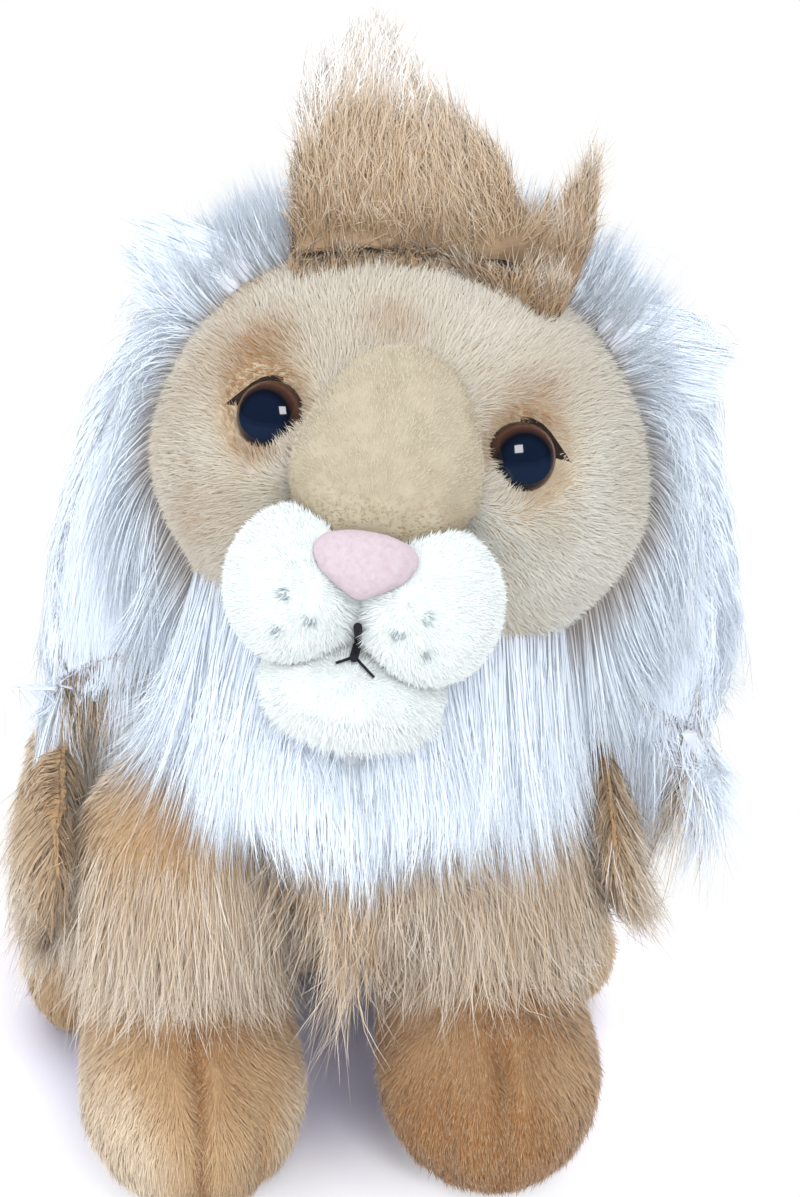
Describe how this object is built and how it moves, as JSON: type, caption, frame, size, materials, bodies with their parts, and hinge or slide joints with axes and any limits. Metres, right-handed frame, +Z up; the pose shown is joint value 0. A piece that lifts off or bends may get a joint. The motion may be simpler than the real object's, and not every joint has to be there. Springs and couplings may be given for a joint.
{
  "type": "plush lion",
  "caption": "Seated plush lion cub: round head with shiny eyes, pink nose and a long shaggy mane, straight front legs with round paws, hind legs lying forward, tufted tail.",
  "frame": {"origin": "on the floor under the middle of the bounding box", "axes": "+Z up; the body looks along -Y; +X is the lion's left"},
  "size_m": [0.1594, 0.232, 0.2421],
  "materials": {
    "tan_plush": "medium pile plush",
    "cream_plush": "medium pile plush",
    "olive_short_pile": "short pile",
    "white_short_pile": "short pile",
    "mane_white_pile": "long shaggy pile",
    "mane_tan_pile": "long shaggy pile",
    "pink_nose_fabric": "smooth",
    "eye_plastic": "high gloss",
    "liner_felt": "flat felt",
    "dark_thread": "twisted thread",
    "washer_plastic": "satin",
    "pouch_cloth": "plain woven"
  },
  "bodies": {
    "body": {"torso": "tan_plush", "pellet_pouch": "pouch_cloth", "chest_bib": "mane_tan_pile", "shoulder_mane_left": "mane_tan_pile", "shoulder_mane_right": "mane_tan_pile"},
    "head_group": {"head": "cream_plush", "nose_bridge": "olive_short_pile", "chin": "white_short_pile", "nose": "pink_nose_fabric", "mane_crown": "mane_tan_pile", "mane_back": "mane_white_pile", "mane_throat": "mane_white_pile", "muzzle_left": "white_short_pile", "muzzle_right": "white_short_pile", "eye_left": "eye_plastic", "eye_right": "eye_plastic", "eye_liner_left": "liner_felt", "eye_liner_right": "liner_felt", "eye_washer_left": "washer_plastic", "eye_washer_right": "washer_plastic", "ear_left": "tan_plush", "ear_right": "tan_plush", "mane_left": "mane_white_pile", "mane_right": "mane_white_pile"},
    "left_front_leg": {"front_leg_left": "tan_plush"},
    "right_front_leg": {"front_leg_right": "tan_plush"},
    "left_hind_leg": {"hind_leg_left": "tan_plush"},
    "right_hind_leg": {"hind_leg_right": "tan_plush"},
    "tail_group": {"tail": "tan_plush", "tail_tuft": "mane_tan_pile"}
  },
  "joints": [
    {"name": "head_turn", "type": "hinge", "parent": "body", "child": "head_group", "pos_m": [-0.00422, -0.02237, 0.112], "axis": [0, 0, 1], "range_deg": [-20, 20]},
    {"name": "front_leg_left_swing", "type": "hinge", "parent": "body", "child": "left_front_leg", "pos_m": [0.02028, -0.05432, 0.073], "axis": [-1, 0, 0], "range_deg": [-8, 20]},
    {"name": "front_leg_right_swing", "type": "hinge", "parent": "body", "child": "right_front_leg", "pos_m": [-0.04472, -0.05432, 0.073], "axis": [-1, 0, 0], "range_deg": [-8, 20]},
    {"name": "hind_leg_left_lift", "type": "hinge", "parent": "body", "child": "left_hind_leg", "pos_m": [0.03008, 0.05363, 0.033], "axis": [-1, 0, 0], "range_deg": [0, 30]},
    {"name": "hind_leg_right_lift", "type": "hinge", "parent": "body", "child": "right_hind_leg", "pos_m": [-0.05452, 0.05363, 0.033], "axis": [-1, 0, 0], "range_deg": [0, 30]},
    {"name": "tail_swing", "type": "hinge", "parent": "body", "child": "tail_group", "pos_m": [-0.01222, 0.08465, 0.0169], "axis": [0, 0, 1], "range_deg": [0, 60]}
  ]
}
